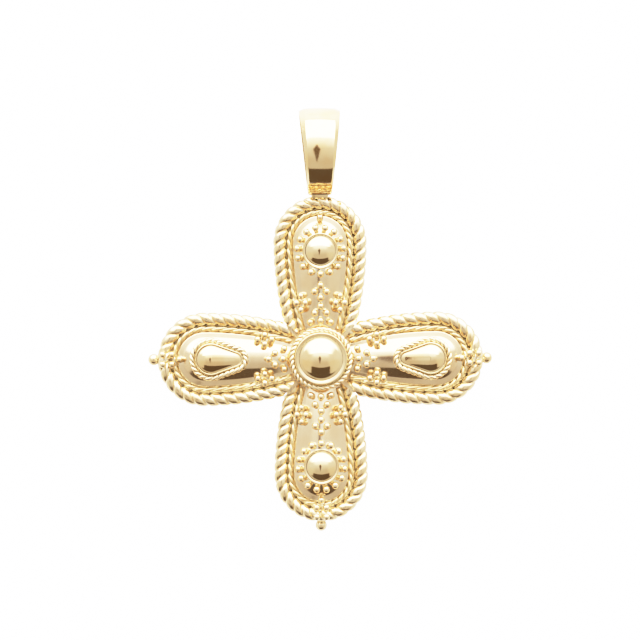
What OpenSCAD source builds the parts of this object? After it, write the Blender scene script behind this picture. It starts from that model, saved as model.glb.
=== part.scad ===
// Cross pendant with four domed petals, twisted rope borders, granules, bosses and a bail.
// It lies on its back: +Z is the front, +Y points to the bail, and the origin is the centre of
// the flat back. All sizes are in millimetres.

/* [Cross] */
// Distance from the centre to the outer edge of each arm's rope
arm_reach = 19.6; // [19:0.1:20.2]
// Half width of an arm at its round end, over the rope
arm_end_r = 5.65; // [5.6:0.01:5.7]
// Radius of the long curve of each arm's sides
arm_side_r = 39; // [38:0.5:41]
// Thickness of the flat back plate
back_t = 0.8; // [0.6:0.05:1]
// How far the back plate stays inside the rope's outer edge
back_inset = 0.3; // [0.2:0.05:0.4]
// Gap left between neighbouring pieces
gap = 0.03; // [0.02:0.01:0.04]

/* [Petals] */
// Distance from the arm's outer edge in to the edge of the petal
petal_inset = 2.3; // [2.3:0.01:2.34]
// Height of the level brim round the petal's dome
brim_z = 1.5; // [1.46:0.01:1.52]
// Width of that brim at the round end
brim_w = 0.42; // [0.36:0.02:0.5]
// Height of the dome above the brim at the round end
petal_rise = 1.48; // [1.44:0.01:1.5]
// Distance from the centre at which the dome fits the arm's neck exactly
neck_at = 6; // [5:0.1:7]

/* [Rope border] */
// Diameter of the thick rope
rope_d = 1.6; // [1.5:0.02:1.6]
// Length of one full turn of the rope's two strands
rope_lay = 2.6; // [2.4:0.1:3]
// Where the rope's ends lie along the arm
rope_start = 3.7; // [3.65:0.05:4]
// Direction of the rope's cut ends, from across the arm, in degrees
rope_cut = 38; // [34:1:40]
// Length over which the rope's section turns into its slanted end
rope_ease = 3.5; // [3:0.5:5]
// Diameter of the thin wire inside the rope
inner_d = 0.7; // [0.66:0.01:0.7]
// Distance from the arm's outer edge in to the thin wire's centre
inner_inset = 1.98; // [1.97:0.01:1.99]
// Height of the thin wire's centre over the petal's brim
inner_over = 0.21; // [0.2:0.01:0.22]
// Length of one full turn of the thin wire's two strands
inner_lay = 2.6; // [2.2:0.1:3]
// Where the thin wire's ends lie along the arm
inner_start = 3.45; // [3.4:0.05:3.8]

/* [Centre boss] */
// Radius of the collar under the centre boss
collar_r = 3.58; // [3.5:0.02:3.6]
// Outer radius of the plain band round the boss
centre_band_r = 3.17; // [3.1:0.01:3.2]
// Height of that band above the collar
centre_band_h = 1.1; // [0.9:0.05:1.2]
// Radius of the boss
centre_boss_r = 2.6; // [2.5:0.02:2.7]
// Height of the boss's round top
centre_boss_rise = 1.3; // [1.1:0.05:1.6]
// Diameter of the twisted wire ring
centre_wire_d = 0.66; // [0.6:0.02:0.7]
// Number of full turns of its two strands round the ring
centre_wire_turns = 18; // [16:1:20]

/* [Round bosses] */
// Distance of the top and bottom bosses from the centre
round_at = 12.96; // [12.8:0.04:13.2]
// Radius of the boss
round_r = 1.8; // [1.7:0.02:1.85]
// Height of the boss's round top
round_rise = 0.74; // [0.6:0.02:1]
// Outer radius of the band round the boss
round_band_r = 2.15; // [2.1:0.01:2.2]
// Height of the flat seat cut in the petal for the band and boss
round_seat_z = 2.06; // [2:0.01:2.06]
// Height of the band's upper edge
round_band_z = 3.25; // [3.2:0.05:3.4]
// Radius of the ring of granules
ring_r = 2.8; // [2.76:0.01:2.82]
// Number of granules in the ring
ring_count = 15; // [14:1:15]

/* [Teardrop bosses] */
// Distance of the teardrop's round part from the centre
tear_at = 13.2; // [13:0.05:13.4]
// Radius of the round part
tear_r = 1.68; // [1.6:0.02:1.7]
// Distance of the centre of the rounded tip from the middle of the cross
tear_tip_at = 10.3; // [10.2:0.05:10.5]
// Radius of the rounded tip
tear_tip_r = 0.7; // [0.6:0.02:0.8]
// Thickness of the band round the teardrop
tear_band_t = 0.23; // [0.2:0.01:0.24]
// Height of the flat seat cut in the petal for the band and boss
tear_seat_z = 2.22; // [2.1:0.02:2.22]
// Height of the band's upper edge and of the rim of the teardrop
tear_band_z = 3.15; // [3.1:0.05:3.25]
// Height of the teardrop's round top above that line
tear_rise = 0.74; // [0.6:0.02:1]
// Diameter of the twisted wire ring
tear_wire_d = 0.66; // [0.6:0.02:0.68]
// Number of full turns of its two strands round the ring
tear_wire_turns = 13; // [12:1:14]

/* [Granules] */
// Diameter of a granule
granule_d = 0.86; // [0.8:0.01:0.86]
// Distance of the pyramid's row of three from the middle of the cross
pyramid_r = 4.56; // [4.5:0.02:4.6]
// Angle between neighbours in that row, seen from the middle of the cross
pyramid_step = 15.6; // [15:0.2:16]
// Distance of the pyramid's pair from the middle of the cross
pyramid_pair_at = 5.5; // [5.46:0.02:5.54]
// Half the spacing of the pair
pyramid_pair_w = 0.72; // [0.7:0.01:0.76]
// Distance of the single granule at the pyramid's point
pyramid_point_at = 6.3; // [6.26:0.02:6.36]
// Distance of the side groups of four from the middle of the cross
side_four_at = 6.72; // [6.6:0.04:6.9]
// Their distance from the arm's axis
side_four_w = 2.35; // [2.3:0.01:2.36]
// Distance of the group of four on the axis of the top and bottom arms
axis_four_at = 8.07; // [8.07:0.02:8.15]
// Distance of the single granule near each petal's end
end_granule_at = 17; // [16.95:0.01:17.05]

/* [Tips] */
// Diameter of the ball at the end of an arm
ball_d = 1.4; // [1.3:0.05:1.4]
// Distance of the ball's centre from the middle of the cross
ball_at = 20.05; // [20.05:0.05:20.3]
// Height of the ball's centre
ball_z = 0.74; // [0.72:0.01:0.78]
// Distance of the outer pair of granules on the rope
tip_outer_at = 19; // [18.95:0.05:19.1]
// Distance of the inner pair of granules on the rope
tip_inner_at = 17.9; // [17.85:0.05:17.95]
// Half the spacing of each pair
tip_pair_w = 0.58; // [0.52:0.02:0.6]

/* [Bail] */
// Height of the loop
bail_h = 10.6; // [10:0.1:11.2]
// Width of the strap at the top
bail_top_w = 5; // [4.6:0.1:5.2]
// Width of the strap at its foot
bail_foot_w = 2.8; // [2.6:0.1:3]
// Thickness of the strap
bail_wall = 0.75; // [0.7:0.05:0.8]
// Radius of the crown across the strap
bail_crown_r = 6.5; // [6:0.5:8]
// Depth of the loop behind its widest line, where it is flattened
bail_back = 1.6; // [1.5:0.05:1.7]

/* [Hidden] */
$fn = 96;
top = 0;
left = 90;
bottom = 180;
right = 270;
pale_gold = [0.91, 0.78, 0.52];
warm_gold = [0.86, 0.68, 0.38];
deep_gold = [0.72, 0.50, 0.22];

// The arm's outline: a round end and two long side curves that meet it smoothly
arm_end_at = arm_reach - arm_end_r;
arm_side_x = arm_side_r - arm_end_r;

// Heights of the pieces that lie on the back plate, and of the thin wire, which lies in the
// groove between the rope and the petal's edge
seat_z = back_t + gap;
rope_z = seat_z + rope_d / 2;
inner_z = brim_z + inner_over;
collar_z = rope_z + rope_d / 2;

// The petal's dome is a barrel with a ball end, lying along the arm, that rises from the brim
petal_end_w = arm_end_r - petal_inset;
dome_end_w = petal_end_w - brim_w;
petal_ball_r = (dome_end_w * dome_end_w + petal_rise * petal_rise) / (2 * petal_rise);
petal_axis_z = brim_z + petal_rise - petal_ball_r;
dome_neck_w = border_w(petal_inset, neck_at) * dome_end_w / petal_end_w;
petal_neck_girth = norm([dome_neck_w, brim_z - petal_axis_z]);
petal_neck_fall = petal_ball_r - petal_neck_girth;
petal_neck_run = arm_end_at - neck_at;
petal_barrel_r = (pow(petal_neck_run, 2) + pow(petal_neck_fall, 2)) / (2 * petal_neck_fall);

granule_r = granule_d / 2;
four_along = 0.75;
four_side_along = 0.84;
four_side_w = 0.54;
tear_round_steps = 48;
tear_tip_steps = 12;
tear_overlap = 0.12;
tear_step = 0.04;
dome_overlap = 0.1;
tear_depth = (tear_r * tear_r - tear_rise * tear_rise) / (2 * tear_rise);
tear_wire_offset = gap + tear_band_t + gap + tear_wire_d / 2;
bail_tongue_w = 2;
bail_tongue_l = 1.6;
bail_solder_z = 2.5;
bail_solder_l = 0.7;
bail_r = bail_h / 2;
bail_y = arm_reach + gap + bail_r;

// Sections and rings of the twisted wires
lobe_points = 6;
rope_strands = 2;
rope_dip = 0.26;
wire_strands = 2;
wire_dip = 0.24;
rings_per_rope_lay = 8;
rings_per_wire_turn = 6;
rings_per_inner_lay = 6;

// Half width of the arm's outline drawn in by an inset, at a distance along the arm
function border_w(inset, along) =
    sqrt(pow(arm_side_r - inset, 2) - pow(arm_end_at - along, 2)) - arm_side_x;

// Angle that a side curve turns through between its start and the round end
function side_angle(inset, start) = asin((arm_end_at - start) / (arm_side_r - inset));

function side_run(inset, start) = (arm_side_r - inset) * side_angle(inset, start) * PI / 180;

function border_run(inset, start) = 2 * side_run(inset, start) + PI * (arm_end_r - inset);

// Point of the border at a run from its start: [across, along, heading of the outward normal]
function border_at(inset, start, run) =
    let (side_r = arm_side_r - inset,
         end_r = arm_end_r - inset,
         side = side_run(inset, start),
         half = PI * end_r)
    run < side
        ? arc_at([-arm_side_x, arm_end_at], side_r, run / side_r * 180 / PI - side_angle(inset, start))
        : run < side + half
            ? arc_at([0, arm_end_at], end_r, (run - side) / end_r * 180 / PI)
            : arc_at([arm_side_x, arm_end_at], side_r, 180 + (run - side - half) / side_r * 180 / PI);

function arc_at(centre, r, turn) =
    [centre.x + r * cos(turn), centre.y + r * sin(turn), turn];

function arc_points(centre, r, from, to, steps) =
    [for (i = [0 : steps]) let (p = arc_at(centre, r, from + (to - from) * i / steps)) [p.x, p.y]];

// Radius of the petal's barrel and ball, grown by an offset, at a distance along the arm
function petal_girth(along, grown) =
    along < arm_end_at
        ? petal_ball_r - petal_barrel_r
            + sqrt(pow(petal_barrel_r + grown, 2) - pow(arm_end_at - along, 2))
        : sqrt(max(0, pow(petal_ball_r + grown, 2) - pow(along - arm_end_at, 2)));

// Height at which something of a given radius rests on the petal's dome or on its brim
function on_petal(across, along, r) =
    max(brim_z + gap + r,
        petal_axis_z + sqrt(max(0, pow(petal_girth(along, r + gap), 2) - across * across)));

// Height at which something of a given radius rests on the thin border wire
function on_inner_wire(across, along, r) =
    let (away = along < arm_end_at
            ? abs(across) - border_w(inner_inset, along)
            : norm([across, along - arm_end_at]) - (arm_end_r - inner_inset))
    inner_z + sqrt(max(0, pow(inner_d / 2 + r + gap, 2) - away * away));

// Height at which a granule rests on the rope at an arm's tip
function on_rope(across, along, r) =
    rope_z + sqrt(pow(rope_d / 2 + r + gap, 2)
        - pow(norm([across, along - arm_end_at]) - (arm_end_r - rope_d / 2), 2));

// Radius of a twisted wire's section at an angle from one of its strands
function lobe(r, strands, dip, turn) = r * (1 - dip * (1 - cos(strands * turn)) / 2);

// One ring of a twisted wire: lean slants it, as a cut end is slanted
function wire_ring(point, z, heading, r, strands, dip, twist, lean) =
    [for (i = [0 : lobe_points - 1])
        let (own = 360 * i / lobe_points,
             rho = lobe(r, strands, dip, own),
             out = rho * cos(own + twist),
             ahead = lean * out)
        [point.x + out * cos(heading) - ahead * sin(heading),
         point.y + out * sin(heading) + ahead * cos(heading),
         z + rho * sin(own + twist)]];

// How much of the end's slant a ring has at a run from the wire's end
function ease(run) = max(0, 1 - run / rope_ease);

// The teardrop's outline, grown by an offset
tear_slope = asin((tear_r - tear_tip_r) / (tear_at - tear_tip_at));

// Run along the teardrop's round part, its side and its tip, when grown by an offset
function tear_round_run(grown) = (tear_r + grown) * (90 + tear_slope) * PI / 180;
function tear_side_run() = (tear_at - tear_tip_at) * cos(tear_slope);
function tear_tip_run(grown) = (tear_tip_r + grown) * (90 - tear_slope) * PI / 180;
function tear_half_run(grown) = tear_round_run(grown) + tear_side_run() + tear_tip_run(grown);

// Point of the grown outline at a run from the outer end, on the right half
function tear_half_at(grown, run) =
    let (round_run = tear_round_run(grown),
         side_end = round_run + tear_side_run(),
         flank = -tear_slope,
         flank_start = arc_at([0, tear_at], tear_r + grown, flank))
    run < round_run
        ? arc_at([0, tear_at], tear_r + grown, 90 - run / (tear_r + grown) * 180 / PI)
        : run < side_end
            ? [flank_start.x - (run - round_run) * sin(tear_slope),
               flank_start.y - (run - round_run) * cos(tear_slope),
               flank]
            : arc_at([0, tear_tip_at], tear_tip_r + grown,
                flank - (run - side_end) / (tear_tip_r + grown) * 180 / PI);

// The whole outline, down the left half, which mirrors the right one, and back up the right
function tear_outline_at(grown, run) =
    let (half = tear_half_run(grown))
    run <= half
        ? let (p = tear_half_at(grown, run)) [-p.x, p.y, 180 - p.z]
        : tear_half_at(grown, 2 * half - run);

// Closed skin over rings of points, with flat ends or joined into a loop. Each four-sided patch
// is split along its shorter diagonal, so that the strands stay full.
module skin(rings, loop = false) {
    n = len(rings[0]);
    m = len(rings);
    steps = loop ? m : m - 1;
    sides = [for (i = [0 : steps - 1], j = [0 : n - 1])
        let (next = (i + 1) % m, a = i * n, b = next * n, k = (j + 1) % n)
        each norm(rings[i][j] - rings[next][k]) < norm(rings[i][k] - rings[next][j])
            ? [[a + j, a + k, b + k], [a + j, b + k, b + j]]
            : [[a + j, a + k, b + j], [a + k, b + k, b + j]]];
    ends = loop ? [] : [[for (j = [n - 1 : -1 : 0]) j], [for (j = [0 : n - 1]) (m - 1) * n + j]];
    polyhedron([for (ring = rings) each ring], concat(sides, ends));
}

// The arm's outline drawn in by an inset, with its neck cut across at the middle of the cross
module arm_outline(inset) {
    translate([0, arm_end_at]) circle(arm_end_r - inset);
    intersection() {
        translate([-arm_side_x, arm_end_at]) circle(arm_side_r - inset, $fn = 360);
        translate([arm_side_x, arm_end_at]) circle(arm_side_r - inset, $fn = 360);
        translate([-arm_end_r, 0]) square([2 * arm_end_r, arm_end_at]);
    }
}

module back_plate() {
    color(warm_gold)
        linear_extrude(back_t)
            for (turn = [top, left, bottom, right])
                rotate(turn) arm_outline(back_inset);
}

// The barrel and ball that the petal is cut from, lying along the arm
module petal_barrel() {
    translate([0, 0, petal_axis_z]) rotate([-90, 0, 0]) rotate_extrude()
        intersection() {
            union() {
                translate([0, arm_end_at]) circle(petal_ball_r);
                intersection() {
                    translate([petal_ball_r - petal_barrel_r, arm_end_at])
                        circle(petal_barrel_r, $fn = 360);
                    square([petal_ball_r, arm_end_at]);
                }
            }
            translate([0, collar_r / 2]) square([2 * petal_ball_r, arm_reach]);
        }
}

// A petal with its neck cut to the collar; its children are taken out as the boss's seat
module petal(turn) {
    color(pale_gold) rotate(turn) difference() {
        union() {
            translate([0, 0, seat_z]) linear_extrude(brim_z - seat_z) arm_outline(petal_inset);
            intersection() {
                petal_barrel();
                translate([-arm_end_r, 0, brim_z - dome_overlap])
                    cube([2 * arm_end_r, arm_reach, 2 * brim_z]);
            }
        }
        cylinder(r = collar_r + gap, h = 4 * brim_z);
        children();
    }
}

module round_seat() {
    translate([0, round_at, round_seat_z]) cylinder(r = round_band_r + gap, h = brim_z);
}

module tear_seat() {
    translate([0, 0, tear_seat_z]) linear_extrude(brim_z) tear_outline(tear_band_t + 2 * gap);
}

module rope(turn) {
    run_end = border_run(rope_d / 2, rope_start);
    rings = round(run_end / rope_lay * rings_per_rope_lay);
    lean = tan(rope_cut + side_angle(rope_d / 2, rope_start));
    color(warm_gold) rotate(turn) skin([for (i = [0 : rings])
        let (run = run_end * i / rings, p = border_at(rope_d / 2, rope_start, run))
        wire_ring(p, rope_z, p.z, rope_d / 2, rope_strands, rope_dip, -360 * run / rope_lay,
            lean * (ease(run) - ease(run_end - run)))]);
}

module inner_wire(turn) {
    run_end = border_run(inner_inset, inner_start);
    rings = round(run_end / inner_lay * rings_per_inner_lay);
    color(deep_gold) rotate(turn) skin([for (i = [0 : rings])
        let (run = run_end * i / rings, p = border_at(inner_inset, inner_start, run))
        wire_ring(p, inner_z, p.z, inner_d / 2, wire_strands, wire_dip, 360 * run / inner_lay, 0)]);
}

// Round boss: a drum with a round top, standing at a height
module boss(r, rise, z_low, z_rim) {
    ball = (r * r + rise * rise) / (2 * rise);
    color(pale_gold) translate([0, 0, z_low]) rotate_extrude() intersection() {
        union() {
            square([r, z_rim - z_low]);
            translate([0, z_rim - z_low + rise - ball]) circle(ball);
        }
        square([r, z_rim - z_low + rise]);
    }
}

module centre_boss() {
    boss(centre_boss_r, centre_boss_rise, collar_z + 2 * gap, collar_z + centre_band_h - 2 * gap);
}

// Collar on the back plate with a plain band on it, one piece, with a well for the boss
module centre_bezel() {
    color(pale_gold) difference() {
        union() {
            translate([0, 0, seat_z]) cylinder(r = collar_r, h = collar_z - seat_z);
            translate([0, 0, seat_z])
                cylinder(r = centre_band_r, h = collar_z - seat_z + centre_band_h);
        }
        translate([0, 0, collar_z + gap])
            cylinder(r = centre_boss_r + gap, h = 2 * centre_band_h);
    }
}

module centre_wire() {
    ring_r = centre_band_r + gap + centre_wire_d / 2;
    rings = centre_wire_turns * rings_per_wire_turn;
    color(warm_gold) skin([for (i = [0 : rings - 1])
        let (turn = 360 * i / rings)
        wire_ring(arc_at([0, 0], ring_r, turn), collar_z + gap + centre_wire_d / 2, turn,
            centre_wire_d / 2, wire_strands, wire_dip, -turn * centre_wire_turns, 0)], true);
}

module round_boss(turn) {
    rotate(turn) translate([0, round_at, 0])
        boss(round_r, round_rise, round_seat_z + gap, round_band_z - gap);
}

module round_bezel(turn) {
    color(pale_gold) rotate(turn) translate([0, round_at, round_seat_z + gap]) difference() {
        cylinder(r = round_band_r, h = round_band_z - round_seat_z - gap);
        translate([0, 0, -gap]) cylinder(r = round_r + gap, h = round_band_z);
    }
}

module round_beads(turn) {
    color(pale_gold) rotate(turn)
        for (i = [0 : ring_count - 1])
            let (p = arc_at([0, round_at], ring_r, -90 + 360 * i / ring_count))
                granule(p.x, p.y, on_petal(p.x, p.y, granule_r));
}

// Teardrop outline, grown by an offset: two arcs whose ends are joined by their common tangents
module tear_outline(grown) {
    polygon(concat(
        arc_points([0, tear_at], tear_r + grown, -tear_slope, 180 + tear_slope, tear_round_steps),
        arc_points([0, tear_tip_at], tear_tip_r + grown, 180 + tear_slope, 360 - tear_slope,
            tear_tip_steps)));
}

// Teardrop boss: a slab with a round top, a small step inside its edge, turned about an axis
// that lies below the rim
module tear_boss(turn) {
    run_end = tear_half_run(0);
    steps = tear_round_steps;
    color(pale_gold) rotate(turn) {
        translate([0, 0, tear_seat_z + gap])
            linear_extrude(tear_band_z - gap - tear_seat_z - gap) tear_outline(0);
        translate([0, 0, tear_band_z - gap]) intersection() {
            translate([0, 0, -tear_depth]) rotate([-90, 0, 0]) rotate_extrude() polygon(concat(
                [[0, tear_at + tear_r]],
                [for (i = [0 : steps])
                    let (p = tear_half_at(0, run_end * i / steps)) [norm([p.x, tear_depth]), p.y]],
                [[0, tear_tip_at - tear_tip_r]]));
            translate([0, 0, -tear_overlap]) linear_extrude(2 * tear_r) tear_outline(-tear_step);
        }
    }
}

module tear_bezel(turn) {
    color(pale_gold) rotate(turn) translate([0, 0, tear_seat_z + gap])
        linear_extrude(tear_band_z - tear_seat_z - gap) difference() {
            tear_outline(tear_band_t + gap);
            tear_outline(gap);
        }
}

module tear_wire(turn, hand) {
    run_end = 2 * tear_half_run(tear_wire_offset);
    rings = tear_wire_turns * rings_per_wire_turn;
    color(warm_gold) rotate(turn) skin([for (i = [0 : rings - 1])
        let (p = tear_outline_at(tear_wire_offset, run_end * i / rings))
        wire_ring(p, on_petal(p.x, p.y, tear_wire_d / 2), p.z, tear_wire_d / 2, wire_strands,
            wire_dip, hand * 360 * tear_wire_turns * i / rings, 0)], true);
}

module granule(across, along, z) {
    translate([across, along, z]) sphere(granule_r);
}

// Three, two and one granules that point outwards from the centre boss
module pyramid() {
    for (i = [-1 : 1])
        let (p = arc_at([0, 0], pyramid_r, 90 + i * pyramid_step))
            granule(p.x, p.y, on_petal(p.x, p.y, granule_r));
    for (side = [-1, 1])
        granule(side * pyramid_pair_w, pyramid_pair_at,
            on_petal(pyramid_pair_w, pyramid_pair_at, granule_r));
    granule(0, pyramid_point_at, on_petal(0, pyramid_point_at, granule_r));
}

// Four granules in a diamond, resting on the petal and on the thin wire beside it
module four(across, along, half_across, half_along) {
    for (step = [[1, 0], [-1, 0], [0, 1], [0, -1]])
        let (w = across + step.x * half_across, d = along + step.y * half_along)
            granule(w, d, max(on_petal(w, d, granule_r), on_inner_wire(w, d, granule_r)));
}

// Everything granulated on one petal; the vertical arms have a group of four on their axis too
module granules(turn, axis_four) {
    color(pale_gold) rotate(turn) {
        pyramid();
        for (side = [-1, 1]) four(side * side_four_w, side_four_at, four_side_w, four_side_along);
        if (axis_four) four(0, axis_four_at, pyramid_pair_w, four_along);
        granule(0, end_granule_at, max(on_petal(0, end_granule_at, granule_r),
            on_inner_wire(0, end_granule_at, granule_r)));
    }
}

// Ball at the arm's end and two pairs of granules on the rope above it
module tip(turn) {
    color(pale_gold) rotate(turn) {
        translate([0, ball_at, ball_z]) sphere(ball_d / 2);
        for (side = [-1, 1], along = [tip_outer_at, tip_inner_at])
            granule(side * tip_pair_w, along, on_rope(tip_pair_w, along, granule_r));
    }
}

// The loop seen from its side, as [along the arm, height], drawn in by an inset
module bail_side(inset) {
    corner = bail_back - inset;
    intersection() {
        circle(bail_r - inset);
        translate([-bail_r, 0]) square([2 * bail_r, bail_r]);
    }
    translate([-(bail_r - bail_back), -corner]) square([2 * (bail_r - bail_back), bail_back]);
    for (side = [-1, 1]) translate([side * (bail_r - bail_back), 0]) circle(corner);
}

// Solder between the strap's foot and the rope, as [along the arm, height]
module bail_solder() {
    polygon(concat(
        arc_points([arm_reach - rope_d / 2, rope_z], rope_d / 2 + 2 * gap, 8, 58, 6),
        [[arm_reach - 0.25, bail_solder_z],
         [arm_reach + bail_solder_l, bail_solder_z],
         [arm_reach + bail_solder_l, rope_z + 0.12]]));
}

// The strap, the tongue at its foot that meets the edge of the back plate, and the solder there
module bail() {
    color(pale_gold) {
        translate([0, bail_y, bail_back]) difference() {
            intersection() {
                rotate([90, 0, 90])
                    linear_extrude(2 * bail_top_w, center = true) bail_side(0);
                rotate([0, 90, 0]) rotate_extrude() intersection() {
                    translate([bail_r - bail_crown_r, 0]) circle(bail_crown_r, $fn = 180);
                    translate([0, -bail_top_w]) square([bail_r, 2 * bail_top_w]);
                }
                translate([0, 0, -bail_h]) linear_extrude(2 * bail_h) polygon([
                    [-bail_top_w / 2, bail_r], [bail_top_w / 2, bail_r],
                    [bail_foot_w / 2, -bail_r], [-bail_foot_w / 2, -bail_r],
                ]);
            }
            rotate([90, 0, 90])
                linear_extrude(3 * bail_top_w, center = true) bail_side(bail_wall);
        }
        translate([-bail_tongue_w / 2, arm_reach - back_inset + gap, 0])
            cube([bail_tongue_w, bail_tongue_l, back_t]);
        rotate([90, 0, 90]) linear_extrude(bail_tongue_w, center = true) bail_solder();
    }
}

back_plate();
petal(top) round_seat();  // top_petal
petal(bottom) round_seat();  // bottom_petal
petal(left) tear_seat();  // left_petal
petal(right) tear_seat();  // right_petal
rope(top);  // top_rope
rope(bottom);  // bottom_rope
rope(left);  // left_rope
rope(right);  // right_rope
inner_wire(top);  // top_inner_wire
inner_wire(bottom);  // bottom_inner_wire
inner_wire(left);  // left_inner_wire
inner_wire(right);  // right_inner_wire
centre_bezel();
centre_boss();
centre_wire();
round_bezel(top);  // top_bezel
round_boss(top);  // top_boss
round_beads(top);  // top_beads
round_bezel(bottom);  // bottom_bezel
round_boss(bottom);  // bottom_boss
round_beads(bottom);  // bottom_beads
tear_bezel(left);  // left_bezel
tear_boss(left);  // left_boss
tear_wire(left, 1);  // left_wire
tear_bezel(right);  // right_bezel
tear_boss(right);  // right_boss
tear_wire(right, -1);  // right_wire
granules(top, true);  // top_granules
granules(bottom, true);  // bottom_granules
granules(left, false);  // left_granules
granules(right, false);  // right_granules
tip(left);  // left_tip
tip(right);  // right_tip
tip(bottom);  // bottom_tip
bail();
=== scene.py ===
# Cross pendant: four domed petals in twisted rope borders, with granules, bosses and a bail.
# Every arm is drawn in millimetres as if it were the top one, then turned and brought to metres.
import bmesh
import bpy
import math
from mathutils import Matrix, Vector


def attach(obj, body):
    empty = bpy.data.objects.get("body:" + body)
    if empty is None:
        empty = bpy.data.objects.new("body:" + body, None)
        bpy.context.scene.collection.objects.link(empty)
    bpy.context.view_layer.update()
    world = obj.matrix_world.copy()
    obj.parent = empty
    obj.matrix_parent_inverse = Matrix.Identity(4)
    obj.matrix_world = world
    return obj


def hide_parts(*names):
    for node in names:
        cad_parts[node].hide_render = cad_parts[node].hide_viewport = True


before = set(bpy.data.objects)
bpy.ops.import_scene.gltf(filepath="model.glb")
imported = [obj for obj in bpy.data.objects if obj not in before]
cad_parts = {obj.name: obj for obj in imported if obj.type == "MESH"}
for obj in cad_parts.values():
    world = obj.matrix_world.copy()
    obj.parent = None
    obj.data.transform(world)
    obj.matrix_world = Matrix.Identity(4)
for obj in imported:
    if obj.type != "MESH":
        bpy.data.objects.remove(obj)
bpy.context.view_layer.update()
scene = bpy.context.scene
armTurn = {"top": 0, "left": 90, "bottom": 180, "right": 270}
millimetre = 0.001
settling = 40  # rounds that bring a guessed place onto the curve it belongs on

cross = {
    "armReach": 19.6,
    "armEndRadius": 5.65,
    "armSideRadius": 39.0,
    "backThickness": 0.8,
    "gap": 0.03,
}
gap = cross["gap"]
armEndAt = cross["armReach"] - cross["armEndRadius"]
armSideX = cross["armSideRadius"] - cross["armEndRadius"]
seatZ = cross["backThickness"] + gap


# Outline of an arm: two long side curves that run into a round end

def borderWidth(inset, along):
    reach = cross["armSideRadius"] - inset
    return math.sqrt(reach ** 2 - (armEndAt - along) ** 2) - armSideX


def borderAt(inset, start, run):
    sideRadius = cross["armSideRadius"] - inset
    endRadius = cross["armEndRadius"] - inset
    opening = math.asin((armEndAt - start) / sideRadius)
    sideRun = sideRadius * opening
    endRun = math.pi * endRadius
    if run < sideRun:
        return arcAt(-armSideX, armEndAt, sideRadius, run / sideRadius - opening)
    if run < sideRun + endRun:
        return arcAt(0, armEndAt, endRadius, (run - sideRun) / endRadius)
    return arcAt(armSideX, armEndAt, sideRadius, math.pi + (run - sideRun - endRun) / sideRadius)


def borderRun(inset, start):
    sideRadius = cross["armSideRadius"] - inset
    opening = math.asin((armEndAt - start) / sideRadius)
    return 2 * sideRadius * opening + math.pi * (cross["armEndRadius"] - inset)


def arcAt(x, y, radius, turn):
    return x + radius * math.cos(turn), y + radius * math.sin(turn), turn


# Node helpers that the shader and geometry trees share

def wire(tree, value, socket):
    if isinstance(value, bpy.types.NodeSocket):
        tree.links.new(value, socket)
    else:
        socket.default_value = value


def reckon(tree, operation, *values):
    node = tree.nodes.new("ShaderNodeMath")
    node.operation = operation
    for value, socket in zip(values, node.inputs):
        wire(tree, value, socket)
    return node.outputs[0]


def reckonVector(tree, operation, *values):
    node = tree.nodes.new("ShaderNodeVectorMath")
    node.operation = operation
    for value, socket in zip(values, node.inputs):
        wire(tree, value, socket)
    return node.outputs[0]


def scaled(tree, vector, factor):
    node = tree.nodes.new("ShaderNodeVectorMath")
    node.operation = "SCALE"
    wire(tree, vector, node.inputs["Vector"])
    wire(tree, factor, node.inputs["Scale"])
    return node.outputs[0]


def eased(tree, value, low, high, fromLevel=0.0, toLevel=1.0):
    node = tree.nodes.new("ShaderNodeMapRange")
    node.interpolation_type = "SMOOTHSTEP"
    wire(tree, value, node.inputs["Value"])
    node.inputs["From Min"].default_value = low
    node.inputs["From Max"].default_value = high
    node.inputs["To Min"].default_value = fromLevel
    node.inputs["To Max"].default_value = toLevel
    return node.outputs["Result"]


def blended(tree, factor, first, second):
    node = tree.nodes.new("ShaderNodeMix")
    node.data_type = "RGBA"
    wire(tree, factor, node.inputs["Factor"])
    wire(tree, first, node.inputs[6])
    wire(tree, second, node.inputs[7])
    return node.outputs[2]


def mixedLevel(tree, share, first, second):
    rest = reckon(tree, "SUBTRACT", second, first)
    return reckon(tree, "MULTIPLY_ADD", share, rest, first)


# Gold: one shared surface of casting waves, fine grain and polishing lines, with painted light that lifts
# the shade in its crevices

goldDetail = {
    "toneScale": 420.0,
    "toneFrom": (0.35, 0.68),
    "grainScale": 14000.0,
    "lineScale": (26000, 900, 4000),
    "lineTurn": (0.2, 0.1, 0.6),
    "lineFrom": (0.56, 0.72),
    # Occlusion samples and range that place the painted crevice light
    "paintedLightSamples": 8,
    "paintedLightFrom": (0.3, 0.95),
    "roughFrom": (0.3, 0.7),
    "roughTone": 0.6,
    "roughLine": 0.4,
    "bumpDistance": 0.00001,
}


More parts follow.
